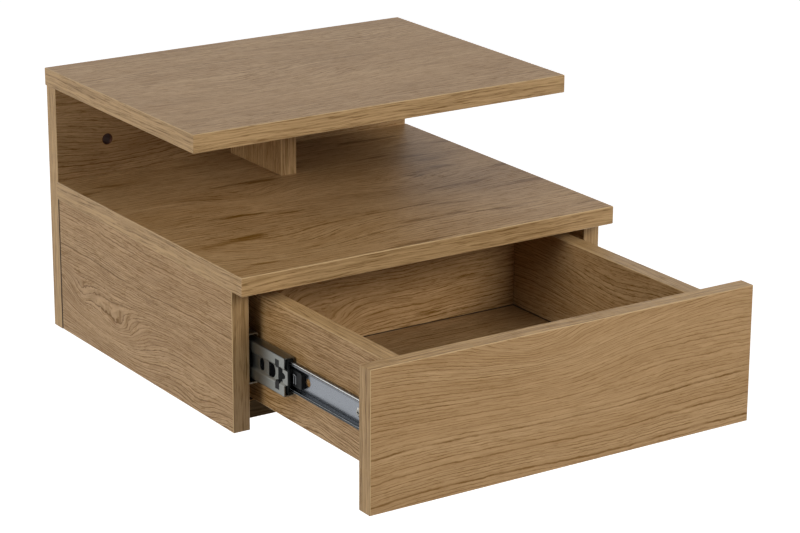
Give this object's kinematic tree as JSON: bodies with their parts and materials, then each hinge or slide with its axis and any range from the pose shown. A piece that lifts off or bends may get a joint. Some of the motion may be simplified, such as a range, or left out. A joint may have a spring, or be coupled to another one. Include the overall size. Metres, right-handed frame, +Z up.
{
  "type": "floating nightstand",
  "caption": "Wall-hung oak-look nightstand with a short top shelf over a deeper lower shelf and a drawer on full-extension ball-bearing runners.",
  "frame": {"origin": "on the wall face of the back panel, midway between the two wall-screw holes", "axes": "+X to the right along the wall as seen from the room, +Y into the wall, +Z up; the drawer opens along -Y"},
  "size_m": [0.35, 0.497, 0.225],
  "materials": {
    "oak": "oak-look melamine foil on chipboard, satin",
    "galvanised": "cold-rolled, bright zinc",
    "black_plastic": "moulded, semi-matt",
    "zinc_plated": "zinc plated",
    "beech": "plain beech"
  },
  "bodies": {
    "cabinet": {"top_shelf": "oak", "back_panel": "oak", "centre_support": "oak", "lower_shelf": "oak", "left_side_panel": "oak", "right_side_panel": "oak", "front_rail": "oak", "support_back_screw": "zinc_plated", "support_foot_screw": "zinc_plated", "left_shelf_screw": "zinc_plated", "left_side_panel_screw": "zinc_plated", "left_top_shelf_cam": "zinc_plated", "left_top_shelf_cam_bolt": "zinc_plated", "left_side_panel_cam": "zinc_plated", "left_side_panel_cam_bolt": "zinc_plated", "left_rail_dowel_1": "beech", "left_rail_dowel_2": "beech", "left_cabinet_runner": "galvanised", "left_cabinet_runner_front_screw": "zinc_plated", "left_cabinet_runner_rear_screw": "zinc_plated", "right_shelf_screw": "zinc_plated", "right_side_panel_screw": "zinc_plated", "right_top_shelf_cam": "zinc_plated", "right_top_shelf_cam_bolt": "zinc_plated", "right_side_panel_cam": "zinc_plated", "right_side_panel_cam_bolt": "zinc_plated", "right_rail_dowel_1": "beech", "right_rail_dowel_2": "beech", "right_cabinet_runner": "galvanised", "right_cabinet_runner_front_screw": "zinc_plated", "right_cabinet_runner_rear_screw": "zinc_plated"},
    "left_middle": {"left_middle_runner": "galvanised", "left_stop_clip": "black_plastic"},
    "right_middle": {"right_middle_runner": "galvanised", "right_stop_clip": "black_plastic"},
    "drawer": {"drawer_front": "oak", "drawer_left_side": "oak", "drawer_right_side": "oak", "drawer_back": "oak", "drawer_bottom": "oak", "drawer_left_cam": "zinc_plated", "drawer_left_cam_bolt": "zinc_plated", "drawer_left_back_screw": "zinc_plated", "left_drawer_runner": "galvanised", "left_drawer_runner_front_screw": "zinc_plated", "left_drawer_runner_rear_screw": "zinc_plated", "drawer_right_cam": "zinc_plated", "drawer_right_cam_bolt": "zinc_plated", "drawer_right_back_screw": "zinc_plated", "right_drawer_runner": "galvanised", "right_drawer_runner_front_screw": "zinc_plated", "right_drawer_runner_rear_screw": "zinc_plated"},
    "left_outer_cage": {"left_outer_ball_cage": "galvanised"},
    "left_inner_cage": {"left_inner_ball_cage": "black_plastic"},
    "left_lever": {"left_release_lever": "black_plastic"},
    "right_outer_cage": {"right_outer_ball_cage": "galvanised"},
    "right_inner_cage": {"right_inner_ball_cage": "black_plastic"},
    "right_lever": {"right_release_lever": "black_plastic"}
  },
  "joints": [
    {"name": "middle_slide", "type": "slide", "parent": "cabinet", "child": "left_middle", "axis": [0, -1, 0], "range_m": [-0.052, 0.073]},
    {"name": "right_middle_slide", "type": "slide", "parent": "cabinet", "child": "right_middle", "axis": [0, -1, 0], "range_m": [-0.052, 0.073]},
    {"name": "drawer_slide", "type": "slide", "parent": "left_middle", "child": "drawer", "axis": [0, -1, 0], "range_m": [-0.125, 0]},
    {"name": "left_outer_cage_roll", "type": "slide", "parent": "cabinet", "child": "left_outer_cage", "axis": [0, -1, 0], "range_m": [-0.026, 0.0365]},
    {"name": "right_outer_cage_roll", "type": "slide", "parent": "cabinet", "child": "right_outer_cage", "axis": [0, -1, 0], "range_m": [-0.026, 0.0365]},
    {"name": "left_inner_cage_roll", "type": "slide", "parent": "left_middle", "child": "left_inner_cage", "axis": [0, -1, 0], "range_m": [-0.0625, 0]},
    {"name": "right_inner_cage_roll", "type": "slide", "parent": "right_middle", "child": "right_inner_cage", "axis": [0, -1, 0], "range_m": [-0.0625, 0]},
    {"name": "left_lever_press", "type": "hinge", "parent": "drawer", "child": "left_lever", "pos_m": [-0.1489, -0.3605, -0.1035], "axis": [1, 0, 0], "range_deg": [0, 6], "stiffness_Nm_per_rad": 0.03, "springref_deg": -11.46},
    {"name": "right_lever_press", "type": "hinge", "parent": "drawer", "child": "right_lever", "pos_m": [0.1489, -0.3605, -0.1035], "axis": [1, 0, 0], "range_deg": [-6, 0], "stiffness_Nm_per_rad": 0.03, "springref_deg": 11.46}
  ],
  "couplings": [
    {"joint": "right_middle_slide", "follows": "middle_slide", "ratio": 1},
    {"joint": "left_outer_cage_roll", "follows": "middle_slide", "ratio": 0.5},
    {"joint": "right_outer_cage_roll", "follows": "middle_slide", "ratio": 0.5},
    {"joint": "left_inner_cage_roll", "follows": "drawer_slide", "ratio": 0.5},
    {"joint": "right_inner_cage_roll", "follows": "drawer_slide", "ratio": 0.5}
  ]
}
